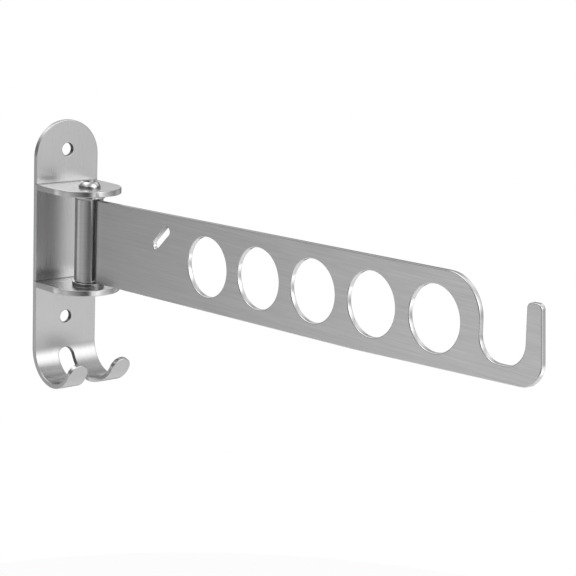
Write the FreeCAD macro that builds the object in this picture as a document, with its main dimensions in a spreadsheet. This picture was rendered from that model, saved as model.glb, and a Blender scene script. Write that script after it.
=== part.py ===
"""Folding wall hook in stainless sheet: a back plate with a double hook, two ears and a swinging arm.

Millimetres. X runs along the wall, +Y goes into the wall and +Z is up. The origin lies on the wall
face, on the plate's centre line, at mid height of the arm's rolled eye.
"""
import FreeCAD, Part
import math
import os

import Sketcher

# Driving sizes

SIZES = {
    # back plate and double hook
    "plate_width": 37.0,
    "plate_thickness": 2.5,
    "plate_top": 58.0,
    "screw_hole_diameter": 6.5,
    "upper_screw_height": 43.0,
    "screw_spacing": 86.5,
    "bend_depth": 57.8,
    "hook_inner_radius": 15.3,
    "hook_turn_angle": 164.0,
    "tongue_length": 2.0,
    "notch_width": 9.4,
    "notch_mouth": 15.0,
    "notch_drop": 2.2,
    # ears
    "ear_thickness": 3.0,
    "ear_reach": 36.0,
    # pivot
    "pivot_reach": 22.0,
    "bolt_diameter": 6.0,
    "bolt_clearance": 0.2,
    "thread_clearance": 0.05,
    "head_diameter": 11.0,
    "head_height": 3.2,
    "head_rim": 0.7,
    "head_flat": 5.6,
    "dome_radius": 4.2,
    "socket_width": 4.0,
    "socket_depth": 2.0,
    "bolt_end_inset": 0.3,
    "bolt_end_chamfer": 0.7,
    "sleeve_wall": 1.3,
    "turning_clearance": 0.05,
    "washer_width": 3.4,
    "washer_thickness": 2.0,
    "washer_clearance": 0.1,
    "axial_clearance": 0.3,
    # arm
    "arm_height": 42.0,
    "arm_thickness": 2.5,
    "arm_rise_angle": 2.0,
    "eye_bend_radius": 2.5,
    "seam_angle": 70.0,
    "seam_taper": 1.0,
    "first_hole_reach": 96.0,
    "hole_pitch": 36.0,
    "hole_count": 5,
    "hole_diameter": 28.0,
    "slot_reach": 61.4,
    "slot_height": 9.0,
    "slot_length": 11.3,
    "slot_angle": 40.8,
    "slot_width": 4.2,
    # end hook, measured outward from the last hanger hole and up from the arm's middle line
    "top_edge_drop": 0.5,
    "shoulder_radius": 17.3,
    "throat_reach": 24.4,
    "throat_width": 23.3,
    "throat_floor": 12.1,
    "throat_radius": 10.0,
    "prong_height": 14.5,
    "prong_width": 8.5,
    "prong_lean": 1.2,
    "prong_radius": 2.5,
    "heel_radius": 10.5,
    "lower_edge_rise": 1.9,
    "lower_edge_start": 98.0,
}


class Size:
    """A length or number together with the sheet formula that gives it."""

    def __init__(self, value, text):
        self.value = value
        self.text = text

    def __add__(self, other):
        other = as_size(other)
        return Size(self.value + other.value, f"({self.text} + {other.text})")

    def __radd__(self, other):
        return as_size(other) + self

    def __sub__(self, other):
        other = as_size(other)
        return Size(self.value - other.value, f"({self.text} - {other.text})")

    def __rsub__(self, other):
        return as_size(other) - self

    def __mul__(self, other):
        other = as_size(other)
        return Size(self.value * other.value, f"({self.text} * {other.text})")

    def __rmul__(self, other):
        return as_size(other) * self

    def __truediv__(self, other):
        other = as_size(other)
        return Size(self.value / other.value, f"({self.text} / {other.text})")

    def __neg__(self):
        return Size(-self.value, f"(0 - {self.text})")


def as_size(number):
    """A plain number as a Size; a Size stays as it is."""
    if isinstance(number, Size):
        return number
    return Size(float(number), f"{number}")


def cosine(angle):
    """Cosine of an angle in degrees."""
    return Size(math.cos(math.radians(angle.value)), f"cos({angle.text})")


def sine(angle):
    """Sine of an angle in degrees."""
    return Size(math.sin(math.radians(angle.value)), f"sin({angle.text})")


def root(number):
    """Square root."""
    return Size(math.sqrt(number.value), f"sqrt({number.text})")


class Vertex:
    """A point of an outline, given by two Sizes."""

    def __init__(self, x, y):
        self.x = as_size(x)
        self.y = as_size(y)

    def vector(self):
        return FreeCAD.Vector(self.x.value, self.y.value, 0)


def polar(centre, radius, angle):
    """The point at an angle in degrees on a circle about a centre."""
    return Vertex(centre.x + radius * cosine(angle), centre.y + radius * sine(angle))


class Bend:
    """An arc of an outline: its radius, its sense and whether it passes a half turn."""

    def __init__(self, radius, clockwise=False, major=False):
        self.radius = radius
        self.clockwise = clockwise
        self.major = major


# Document and sheet

doc = FreeCAD.newDocument("FoldingWallHook")
sheet = doc.addObject("Spreadsheet::Sheet", "Sizes")
dim = {}
for row, (alias, number) in enumerate(SIZES.items(), start=1):
    sheet.set(f"A{row}", alias)
    sheet.set(f"B{row}", f"{number}")
    sheet.setAlias(f"B{row}", alias)
    dim[alias] = Size(float(number), f"Sizes.{alias}")
doc.recompute()

ORIGIN = -1
START = 1
END = 2
CENTRE = 3


def new_body(name):
    """A body whose label names its file."""
    body = doc.addObject("PartDesign::Body", name)
    body.Label = name
    return body


def new_sketch(body, name, role):
    """A sketch on one of the body's own origin planes."""
    sketch = body.newObject("Sketcher::SketchObject", name)
    plane = next(item for item in body.Origin.OriginFeatures if item.Role == role)
    sketch.AttachmentSupport = [(plane, "")]
    sketch.MapMode = "FlatFace"
    return sketch


def bind(item, path, size):
    """Tie one property of an object to the sheet."""
    item.setExpression(path, size.text)


def tie(sketch, constraint, size):
    """Add a driving constraint and tie it to the sheet."""
    index = sketch.addConstraint(constraint)
    sketch.setExpression(f"Constraints[{index}]", size.text)


def tie_point(sketch, piece, spot, vertex):
    """Tie a point of a sketch to its two coordinates."""
    for kind, size in (("DistanceX", vertex.x), ("DistanceY", vertex.y)):
        tie(sketch, Sketcher.Constraint(kind, ORIGIN, START, piece, spot, size.value), size)


def arc_between(first, second, bend):
    """The arc from one point to another, as a curve that runs anticlockwise."""
    chord = second - first
    half = chord.Length / 2
    radius = bend.radius.value
    across = FreeCAD.Vector(-chord.y, chord.x, 0).normalize()
    offset = math.sqrt(max(radius * radius - half * half, 0.0))
    if bend.clockwise != bend.major:
        offset = -offset
    middle = (first + second) / 2 + across * offset
    begin, finish = (second, first) if bend.clockwise else (first, second)
    begin_angle = math.atan2(begin.y - middle.y, begin.x - middle.x)
    finish_angle = math.atan2(finish.y - middle.y, finish.x - middle.x)
    if finish_angle < begin_angle:
        finish_angle += 2 * math.pi
    circle = Part.Circle(middle, FreeCAD.Vector(0, 0, 1), radius)
    return Part.ArcOfCircle(circle, begin_angle, finish_angle)


def draw_outline(sketch, corners):
    """Draw a closed outline through (vertex, bend or None) pairs; the bend leads on from its vertex."""
    pieces = []
    for place, (corner, bend) in enumerate(corners):
        follower = corners[(place + 1) % len(corners)][0]
        first, second = corner.vector(), follower.vector()
        if bend is None:
            number = sketch.addGeometry(Part.LineSegment(first, second), False)
            pieces.append((number, START, END))
        else:
            number = sketch.addGeometry(arc_between(first, second, bend), False)
            spots = (END, START) if bend.clockwise else (START, END)
            pieces.append((number, *spots))
    for place, (number, _, finish) in enumerate(pieces):
        onward, begin, _ = pieces[(place + 1) % len(pieces)]
        sketch.addConstraint(Sketcher.Constraint("Coincident", number, finish, onward, begin))
    for (number, begin, _), (corner, bend) in zip(pieces, corners):
        tie_point(sketch, number, begin, corner)
        if bend is not None:
            tie(sketch, Sketcher.Constraint("Radius", number, bend.radius.value), bend.radius)


def draw_circle(sketch, centre, diameter):
    """Draw a full circle."""
    circle = Part.Circle(centre.vector(), FreeCAD.Vector(0, 0, 1), diameter.value / 2)
    number = sketch.addGeometry(circle, False)
    tie_point(sketch, number, CENTRE, centre)
    tie(sketch, Sketcher.Constraint("Diameter", number, diameter.value), diameter)


def add_pad(body, name, sketch, length, symmetric=False):
    """Raise a sketch into a solid."""
    pad = body.newObject("PartDesign::Pad", name)
    pad.Profile = sketch
    if symmetric:
        pad.SideType = "Symmetric"
    bind(pad, "Length", length)
    sketch.Visibility = False
    doc.recompute()
    return pad


def add_pocket(body, name, sketch, length=None, reversed_side=False, symmetric=False):
    """Cut a sketch out of the solid, to a depth or right through."""
    before = body.Tip.Shape.Volume
    pocket = body.newObject("PartDesign::Pocket", name)
    pocket.Profile = sketch
    if symmetric:
        pocket.SideType = "Symmetric"
    if length is None:
        pocket.Type = "ThroughAll"
    else:
        bind(pocket, "Length", length)
    pocket.Reversed = reversed_side
    doc.recompute()
    if pocket.Shape.Volume >= before - 1e-6:
        raise RuntimeError(f"{name} cuts nothing")
    return pocket


# Sizes that several pieces share

half_width = dim["plate_width"] / 2
sheet_t = dim["plate_thickness"]
half_eye_height = dim["arm_height"] / 2
half_gap = half_eye_height + dim["axial_clearance"] + dim["washer_thickness"]
ear_top = half_gap + dim["ear_thickness"]
sleeve_bore = dim["bolt_diameter"] + 2 * dim["bolt_clearance"]
sleeve_outer = sleeve_bore + 2 * dim["sleeve_wall"]
eye_bore = sleeve_outer + 2 * dim["turning_clearance"]
washer_bore = sleeve_outer + 2 * dim["washer_clearance"]
pivot_y = -dim["pivot_reach"]


# Back plate: a strip bent forward into a hook, then cut into two prongs

plate = new_body("back_plate")
inner = dim["hook_inner_radius"]
outer = inner + sheet_t
bend_centre = Vertex(-outer, -dim["bend_depth"])
turn_end = -dim["hook_turn_angle"]
tongue = dim["tongue_length"]
outer_end = polar(bend_centre, outer, turn_end)
inner_end = polar(bend_centre, inner, turn_end)
tongue_step = Vertex(tongue * sine(turn_end), -(tongue * cosine(turn_end)))
side = new_sketch(plate, "PlateSideView", "YZ_Plane")
draw_outline(side, [
    (Vertex(0, dim["plate_top"]), None),
    (Vertex(-sheet_t, dim["plate_top"]), None),
    (Vertex(-sheet_t, -dim["bend_depth"]), Bend(inner, clockwise=True)),
    (inner_end, None),
    (Vertex(inner_end.x + tongue_step.x, inner_end.y + tongue_step.y), None),
    (Vertex(outer_end.x + tongue_step.x, outer_end.y + tongue_step.y), None),
    (outer_end, Bend(outer)),
    (Vertex(0, -dim["bend_depth"]), None),
])
add_pad(plate, "PlateStrip", side, dim["plate_width"], symmetric=True)

# Half-round top, cut as the corners that fall outside it
crown = new_sketch(plate, "CrownCorners", "XZ_Plane")
crown_base = dim["plate_top"] - half_width
above = dim["plate_top"] + 2
beyond = half_width + 2
draw_outline(crown, [
    (Vertex(-half_width, crown_base), Bend(half_width, clockwise=True)),
    (Vertex(0, dim["plate_top"]), Bend(half_width, clockwise=True)),
    (Vertex(half_width, crown_base), None),
    (Vertex(beyond, crown_base), None),
    (Vertex(beyond, above), None),
    (Vertex(-beyond, above), None),
    (Vertex(-beyond, crown_base), None),
])
add_pocket(plate, "CrownCut", crown, sheet_t * 4, symmetric=True)

# Two plain screw holes, one above the other
screw_view = new_sketch(plate, "ScrewHoleCentres", "XZ_Plane")
draw_circle(screw_view, Vertex(0, dim["upper_screw_height"]), dim["screw_hole_diameter"])
draw_circle(screw_view, Vertex(0, dim["upper_screw_height"] - dim["screw_spacing"]), dim["screw_hole_diameter"])
add_pocket(plate, "ScrewHoles", screw_view, sheet_t * 4, symmetric=True)

# Notch between the prongs: a round-topped slot down the back of the bend
half_notch = dim["notch_width"] / 2
half_mouth = dim["notch_mouth"] / 2
notch_top = -(dim["bend_depth"] + dim["notch_drop"])
notch_spring = notch_top - half_notch
notch_foot = bend_centre.y - outer - 2
notch = new_sketch(plate, "NotchFrontView", "XZ_Plane")
draw_outline(notch, [
    (Vertex(-half_notch, notch_spring), Bend(half_notch, clockwise=True)),
    (Vertex(0, notch_top), Bend(half_notch, clockwise=True)),
    (Vertex(half_notch, notch_spring), None),
    (Vertex(half_notch, notch_foot), None),
    (Vertex(-half_notch, notch_foot), None),
])
add_pocket(plate, "NotchBack", notch, outer, reversed_side=True)

# The notch widens towards the prongs' tips
tip_r = (half_width - half_mouth) / 2
tip_end = Vertex(inner_end.x + tongue_step.x, inner_end.y + tongue_step.y)
round_start = inner_end.x + (tongue - tip_r) * sine(turn_end)
tip_front = tip_end.x - sheet_t * 2
flare = new_sketch(plate, "NotchPlanView", "XY_Plane")
draw_outline(flare, [
    (Vertex(-half_notch, bend_centre.x), None),
    (Vertex(half_notch, bend_centre.x), None),
    (Vertex(half_mouth, round_start), None),
    (Vertex(half_mouth, tip_front), None),
    (Vertex(-half_mouth, tip_front), None),
    (Vertex(-half_mouth, round_start), None),
])
add_pocket(plate, "NotchFront", flare, dim["bend_depth"] + outer + 2)

# Each prong ends in a full round, drawn square to the slanted tongue
rounds = new_sketch(plate, "ProngRounds", "XY_Plane")
rounds.AttachmentOffset = FreeCAD.Placement(FreeCAD.Vector(0, 0, 0), FreeCAD.Rotation(FreeCAD.Vector(1, 0, 0), 1))
bind(rounds, "AttachmentOffset.Rotation.Angle", 270 - dim["hook_turn_angle"])
bind(rounds, "AttachmentOffset.Base.y", tip_end.x)
bind(rounds, "AttachmentOffset.Base.z", tip_end.y)
prong_middle = (half_width + half_mouth) / 2
for side_of in (-1, 1):
    turn_back = side_of > 0
    draw_outline(rounds, [
        (Vertex(half_width * side_of, -tip_r), Bend(tip_r, clockwise=not turn_back)),
        (Vertex(prong_middle * side_of, 0), Bend(tip_r, clockwise=not turn_back)),
        (Vertex(half_mouth * side_of, -tip_r), None),
        (Vertex((half_mouth - 1) * side_of, -tip_r), None),
        (Vertex((half_mouth - 1) * side_of, 2), None),
        (Vertex((half_width + 2) * side_of, 2), None),
        (Vertex((half_width + 2) * side_of, -tip_r), None),
    ])
add_pocket(plate, "ProngRoundCut", rounds, sheet_t * 4, symmetric=True)


def make_ear(name, bore, height):
    """A D-shaped ear with its bolt hole, standing out from the plate's face."""
    body = new_body(name)
    straight = -(dim["ear_reach"] - half_width)
    shape = new_sketch(body, f"{name}_outline", "XY_Plane")
    draw_outline(shape, [
        (Vertex(half_width, -sheet_t), None),
        (Vertex(-half_width, -sheet_t), None),
        (Vertex(-half_width, straight), Bend(half_width)),
        (Vertex(0, -dim["ear_reach"]), Bend(half_width)),
        (Vertex(half_width, straight), None),
    ])
    draw_circle(shape, Vertex(0, pivot_y), bore)
    add_pad(body, f"{name}_sheet", shape, dim["ear_thickness"])
    bind(body, "Placement.Base.z", height)
    return body


# Ears: the upper one passes the bolt, the lower one is tapped for it

upper_ear = make_ear("upper_ear", sleeve_bore, half_gap)
lower_ear = make_ear("lower_ear", dim["bolt_diameter"] + 2 * dim["thread_clearance"], -ear_top)


def make_ring(name, bore, outside, length, base):
    """A tube or washer on the pivot axis."""
    body = new_body(name)
    rings = new_sketch(body, f"{name}_rings", "XY_Plane")
    draw_circle(rings, Vertex(0, 0), bore)
    draw_circle(rings, Vertex(0, 0), outside)
    add_pad(body, f"{name}_tube", rings, length)
    bind(body, "Placement.Base.y", pivot_y)
    bind(body, "Placement.Base.z", base)
    return body


# Distance sleeve between the ears, and a washer at each end of the arm's eye

washer_outer = washer_bore + 2 * dim["washer_width"]
sleeve = make_ring("pivot_sleeve", sleeve_bore, sleeve_outer, half_gap * 2, -half_gap)
upper_washer = make_ring("upper_washer", washer_bore, washer_outer, dim["washer_thickness"],
                         half_gap - dim["washer_thickness"])
lower_washer = make_ring("lower_washer", washer_bore, washer_outer, dim["washer_thickness"], -half_gap)


# Pivot bolt: a button head with a hexagon socket, seated on the upper ear

bolt = new_body("pivot_bolt")
shank = dim["bolt_diameter"] / 2
head = dim["head_diameter"] / 2
flat = dim["head_flat"] / 2
chamfer = dim["bolt_end_chamfer"]
bolt_length = ear_top * 2 - dim["bolt_end_inset"]
section = new_sketch(bolt, "BoltHalfSection", "XZ_Plane")
draw_outline(section, [
    (Vertex(0, -bolt_length), None),
    (Vertex(shank - chamfer, -bolt_length), None),
    (Vertex(shank, -bolt_length + chamfer), None),
    (Vertex(shank, 0), None),
    (Vertex(head, 0), None),
    (Vertex(head, dim["head_rim"]), Bend(dim["dome_radius"])),
    (Vertex(flat, dim["head_height"]), None),
    (Vertex(0, dim["head_height"]), None),
])
turned = bolt.newObject("PartDesign::Revolution", "BoltTurned")
turned.Profile = section
turned.ReferenceAxis = (section, ["V_Axis"])
turned.Angle = 360
doc.recompute()
socket = new_sketch(bolt, "HexSocket", "XY_Plane")
bind(socket, "AttachmentOffset.Base.z", dim["head_height"])
across_corners = dim["socket_width"] / root(as_size(3))
socket_corners = [
    Vertex(across_corners * math.cos(math.radians(turn)), across_corners * math.sin(math.radians(turn)))
    for turn in range(0, 360, 60)
]
draw_outline(socket, [(corner, None) for corner in socket_corners])
add_pocket(bolt, "SocketCut", socket, dim["socket_depth"])
bind(bolt, "Placement.Base.y", pivot_y)
bind(bolt, "Placement.Base.z", ear_top)


# Arm: the rolled eye first, drawn in plan about the pivot axis

arm = new_body("arm")
half_bar = dim["arm_thickness"] / 2
eye_middle = eye_bore / 2 + half_bar
eye_outer = eye_middle + half_bar
sweep_middle = dim["eye_bend_radius"] + half_bar
span = eye_middle + sweep_middle
run_out = root(span * span - sweep_middle * sweep_middle)
toward_x = sweep_middle / span
toward_y = -(run_out / span)
seam = dim["seam_angle"]
plan = new_sketch(arm, "EyePlanView", "XY_Plane")
draw_outline(plan, [
    (Vertex(-half_bar, -run_out), Bend(sweep_middle + half_bar, clockwise=True)),
    (Vertex((eye_bore / 2) * toward_x, (eye_bore / 2) * toward_y), Bend(eye_bore / 2, major=True)),
    (Vertex(-((eye_bore / 2) * cosine(seam)), -((eye_bore / 2) * sine(seam))), None),
    (Vertex(-(eye_outer * cosine(seam)), -(eye_outer * sine(seam))), Bend(eye_outer, clockwise=True, major=True)),
    (Vertex(eye_outer * toward_x, eye_outer * toward_y), Bend(sweep_middle - half_bar)),
    (Vertex(half_bar, -run_out), None),
])
add_pad(arm, "RolledEye", plan, dim["arm_height"], symmetric=True)

# The eye's free edge is cut slightly aslant, so the seam is wider at the top
taper = new_sketch(arm, "SeamFrontView", "XZ_Plane")
taper.AttachmentOffset = FreeCAD.Placement(FreeCAD.Vector(0, 0, 0), FreeCAD.Rotation(FreeCAD.Vector(0, 1, 0), 1))
bind(taper, "AttachmentOffset.Rotation.Angle", seam - 90)
past_edge = dim["arm_thickness"] / 2
draw_outline(taper, [
    (Vertex(0, -half_eye_height), None),
    (Vertex(past_edge, -half_eye_height), None),
    (Vertex(past_edge, half_eye_height), None),
    (Vertex(-dim["seam_taper"], half_eye_height), None),
])
add_pocket(arm, "SeamCut", taper, eye_outer + 1, reversed_side=True)


# Arm's flat bar, drawn in side view and tilted up by the arm's rise

rise = dim["arm_rise_angle"]
half_bar_height = half_eye_height * cosine(rise)
corner_lead = half_eye_height * sine(rise)


def place_on_arm(sketch):
    """Turn a side-view sketch so that it lies along the rising arm, from where the flat bar starts."""
    bind(sketch, "AttachmentOffset.Base.x", -run_out)
    bind(sketch, "AttachmentOffset.Rotation.Angle", -rise)


def along(reach, height):
    """A point on the arm: outward from the flat bar's start, and up from its middle line."""
    return Vertex(-reach, height)


first_hole = dim["first_hole_reach"] - run_out
last_hole = first_hole + dim["hole_pitch"] * (dim["hole_count"] - 1)
throat_near = last_hole + dim["throat_reach"]
throat_far = throat_near + dim["throat_width"]
throat_r = dim["throat_radius"]
floor = -dim["throat_floor"]
top_end = half_bar_height - dim["top_edge_drop"]
shoulder = dim["shoulder_radius"]
prong_top = dim["prong_height"]
prong_r = dim["prong_radius"]
prong_back = throat_far + dim["prong_width"]
heel_r = dim["heel_radius"]
bottom_end = -half_bar_height + dim["lower_edge_rise"]
outline = new_sketch(arm, "ArmSideView", "YZ_Plane")
draw_outline(outline, [
    (along(corner_lead, half_bar_height), None),
    (along(throat_near - shoulder, top_end), Bend(shoulder, clockwise=False)),
    (along(throat_near, top_end - shoulder), None),
    (along(throat_near, floor + throat_r), Bend(throat_r, clockwise=True)),
    (along(throat_near + throat_r, floor), None),
    (along(throat_far - throat_r, floor), Bend(throat_r, clockwise=True)),
    (along(throat_far, floor + throat_r), None),
    (along(throat_far, prong_top - prong_r), Bend(prong_r, clockwise=False)),
    (along(throat_far + prong_r, prong_top), None),
    (along(prong_back - dim["prong_lean"] - prong_r, prong_top), Bend(prong_r, clockwise=False)),
    (along(prong_back - dim["prong_lean"], prong_top - prong_r), None),
    (along(prong_back, bottom_end + heel_r), Bend(heel_r, clockwise=False)),
    (along(prong_back - heel_r, bottom_end), None),
    (along(first_hole + dim["lower_edge_start"], -half_bar_height), None),
    (along(-corner_lead, -half_bar_height), None),
])
place_on_arm(outline)
add_pad(arm, "FlatBar", outline, dim["arm_thickness"], symmetric=True)

# Five hanger holes in a row
hole_view = new_sketch(arm, "HangerHoleView", "YZ_Plane")
draw_circle(hole_view, along(first_hole, 0), dim["hole_diameter"])
place_on_arm(hole_view)
hanger_hole = add_pocket(arm, "HangerHole", hole_view, dim["arm_thickness"] * 4, symmetric=True)
hole_row = arm.newObject("PartDesign::LinearPattern", "HangerHoleRow")
hole_row.Originals = [hanger_hole]
hole_row.Direction = (hole_view, ["H_Axis"])
hole_row.Reversed = True
bind(hole_row, "Length", dim["hole_pitch"] * (dim["hole_count"] - 1))
bind(hole_row, "Occurrences", dim["hole_count"])
arm.Tip = hole_row
doc.recompute()

# Short slanted slot near the eye
slot_view = new_sketch(arm, "SlotView", "YZ_Plane")
slot_r = dim["slot_width"] / 2
half_slot = dim["slot_length"] / 2
lean_x = cosine(dim["slot_angle"])
lean_y = sine(dim["slot_angle"])


def in_slot(forward, sideways):
    """A point of the slot: forward along its slanted middle line and sideways from it."""
    reach = dim["slot_reach"] - run_out + forward * lean_x - sideways * lean_y
    return along(reach, dim["slot_height"] + forward * lean_y + sideways * lean_x)


draw_outline(slot_view, [
    (in_slot(-half_slot, slot_r), None),
    (in_slot(half_slot, slot_r), Bend(slot_r, clockwise=False)),
    (in_slot(half_slot + slot_r, as_size(0)), Bend(slot_r, clockwise=False)),
    (in_slot(half_slot, -slot_r), None),
    (in_slot(-half_slot, -slot_r), Bend(slot_r, clockwise=False)),
    (in_slot(-half_slot - slot_r, as_size(0)), Bend(slot_r, clockwise=False)),
])
place_on_arm(slot_view)
add_pocket(arm, "SlotCut", slot_view, dim["arm_thickness"] * 4, symmetric=True)
bind(arm, "Placement.Base.y", pivot_y)


# Check every object, then write one file for each piece

doc.recompute()
for item in doc.Objects:
    if "Invalid" in item.State or "Error" in item.State:
        raise RuntimeError(f"{item.Name}: {item.State}")

pieces = [plate, upper_ear, lower_ear, sleeve, upper_washer, lower_washer, bolt, arm]
for piece in pieces:
    shape = piece.Shape
    if shape.isNull() or not shape.isValid() or len(shape.Solids) != 1:
        raise RuntimeError(f"{piece.Label} is not one valid solid")

os.makedirs("parts", exist_ok=True)
for piece in pieces:
    piece.Shape.exportStep(f"parts/{piece.Label}.step")
    box = piece.Shape.BoundBox
    print(f"{piece.Label}: {piece.Shape.Volume / 1000:.2f} cm3, "
          f"x {box.XMin:.2f}..{box.XMax:.2f}, y {box.YMin:.2f}..{box.YMax:.2f}, z {box.ZMin:.2f}..{box.ZMax:.2f}")
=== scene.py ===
"""Folding wall hook in brushed stainless sheet.

Each sheet piece is made as a workshop makes it: a flat blank with softened edges is cut out, its grain
is laid on while it is flat, and then it is bent. Turned pieces are spun from a half section. Lengths in
the classes are millimetres and angles are degrees. Meshes are in metres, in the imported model's frame.
"""
from __future__ import annotations

import logging
import math
from dataclasses import dataclass, field, replace
from enum import Enum
from functools import reduce
from typing import Callable

import bmesh
import bpy
from bmesh.types import BMEdge, BMesh, BMFace, BMLayerItem, BMVert
from bpy.types import ID, Material, Node, NodeInputs, NodeOutputs, NodeSocket, NodeTree, Object
from mathutils import Matrix, Vector

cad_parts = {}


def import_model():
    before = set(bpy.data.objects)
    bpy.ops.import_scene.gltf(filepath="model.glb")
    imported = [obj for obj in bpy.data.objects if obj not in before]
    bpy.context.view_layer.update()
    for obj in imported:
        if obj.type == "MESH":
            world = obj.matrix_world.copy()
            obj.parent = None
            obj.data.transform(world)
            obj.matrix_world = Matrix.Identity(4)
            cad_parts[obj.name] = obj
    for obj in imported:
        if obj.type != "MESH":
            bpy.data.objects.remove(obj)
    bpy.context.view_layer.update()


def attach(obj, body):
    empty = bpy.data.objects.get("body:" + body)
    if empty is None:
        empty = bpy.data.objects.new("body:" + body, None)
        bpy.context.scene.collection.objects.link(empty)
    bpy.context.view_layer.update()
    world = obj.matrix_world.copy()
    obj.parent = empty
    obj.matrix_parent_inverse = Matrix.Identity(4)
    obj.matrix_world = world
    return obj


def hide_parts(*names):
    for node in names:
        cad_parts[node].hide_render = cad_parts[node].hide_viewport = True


LOG = logging.getLogger("wall_hook")
MM = 0.001
# Tolerances: for one place, for a cut through a point, and for points on an edge or a rim
SAME_PLACE = 1e-4
CUT_REACH = 1e-5
SLACK = 0.05
TOUCH = 0.01
CREASE_ANGLE = 50.0
MITRE_LIMIT = 0.5
CIRCLE_POINTS = 96
BORE_POINTS = 64
GRAIN_MAP = "grain"
CUT_MASK = "cut"
# Mask of painted shade (above 0) and painted highlights (below 0)
PAINTED_LIGHT_MASK = "painted_light"
WHITE = (1, 1, 1, 1)

Point = tuple[float, float]
Place = Callable[[float, float, float], tuple[float, float, float]]


class Part(Enum):
    """The two rigid groups that the pivot joins."""

    BRACKET = "bracket"
    ARM = "arm"


# Outlines


def spaced(start: float, span: float, steps: int) -> list[float]:
    """Numbers in equal steps from the start over the span, both ends included."""
    return [start + span * step / steps for step in range(steps + 1)]


def arc(centre: Point, radius: float, start: float, sweep: float, step: float = 4.0) -> list[Point]:
    """Points along an arc, both ends included.

    Args:
        centre: The arc's centre.
        radius: Its radius.
        start: The angle of its first point.
        sweep: How far it turns from there, to the left, or to the right below 0.
        step: The largest angle between two points.

    Returns:
        The points in order.
    """
    turns = spaced(start, sweep, max(2, math.ceil(abs(sweep) / step)))
    return [(centre[0] + radius * math.cos(turn), centre[1] + radius * math.sin(turn))
            for turn in map(math.radians, turns)]


def ring(centre: Point, radius: float, count: int) -> list[Point]:
    """A closed circle.

    Args:
        centre: The circle's centre.
        radius: Its radius.
        count: How many points it has.

    Returns:
        The points, without the first one again at the end.
    """
    return [(centre[0] + radius * math.cos(math.tau * place / count),
             centre[1] + radius * math.sin(math.tau * place / count)) for place in range(count)]


def pairs(row: list) -> list[tuple]:
    """Each item of a closed row with the one after it."""
    return list(zip(row, row[1:] + row[:1]))


def band(near: list, far: list) -> list[tuple]:
    """The corners of each four-sided face between two closed rows."""
    return [(*ends, *reversed(far_ends)) for ends, far_ends in zip(pairs(near), pairs(far))]


def without_repeats(points: list[Point]) -> list[Point]:
    """A closed outline, without each point that lies on the one before it."""
    kept: list[Point] = []
    for point in points:
        if not kept or math.dist(point, kept[-1]) > SAME_PLACE:
            kept.append(point)
    if math.dist(kept[0], kept[-1]) < SAME_PLACE:
        kept.pop()
    return kept


def area_of(points: list[Point]) -> float:
    """Twice the signed area of a closed outline, positive where it runs anticlockwise."""
    return sum(x0 * y1 - x1 * y0 for (x0, y0), (x1, y1) in pairs(points))


# Meshes


def start_mesh() -> tuple[BMesh, BMLayerItem]:
    """Start a mesh with its two masks, for cut edges and for painted shade and painted highlights, and
    its grain.

    Returns:
        The mesh and its grain layer.
    """
    mesh = bmesh.new()
    mesh.verts.layers.float.new(CUT_MASK)
    mesh.verts.layers.float.new(PAINTED_LIGHT_MASK)
    return mesh, mesh.loops.layers.uv.new(GRAIN_MAP)


def add_quad(mesh: BMesh, corners: tuple[BMVert, ...], along: list[float],
             across: list[float]) -> None:
    """Add a four-sided face and lay its grain.

    Args:
        mesh: The mesh that is being built.
        corners: The face's points.
        along: Where the face begins and ends along the grain.
        across: Where it begins and ends across the grain.
    """
    grain = mesh.loops.layers.uv[GRAIN_MAP]
    spots = [(along[0], across[0]), (along[1], across[0]), (along[1], across[1]), (along[0], across[1])]
    for corner, spot in zip(mesh.faces.new(corners).loops, spots):
        corner[grain].uv = (spot[0] * MM, spot[1] * MM)


def link_object(name: str, data: ID) -> Object:
    """Put a new object, a mesh or a camera, in the scene."""
    made = bpy.data.objects.new(name, data)
    bpy.context.scene.collection.objects.link(made)
    return made


def finish_piece(name: str, mesh: BMesh) -> Object:
    """Turn a built mesh into a smooth-shaded piece of the scene.

    Args:
        name: The piece's name.
        mesh: The mesh, in metres; it is freed.

    Returns:
        The piece.
    """
    bmesh.ops.recalc_face_normals(mesh, faces=mesh.faces[:])
    for face in mesh.faces:
        face.smooth = True
    for edge in mesh.edges:
        if len(edge.link_faces) == 2 and edge.calc_face_angle() > math.radians(CREASE_ANGLE):
            edge.smooth = False
    data = bpy.data.meshes.new(name)
    mesh.to_mesh(data)
    mesh.free()
    piece = link_object(name, data)
    shading = piece.modifiers.new("even_shading", "WEIGHTED_NORMAL")
    shading.mode = "FACE_AREA_WITH_ANGLE"
    shading.keep_sharp = True
    return piece


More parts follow.
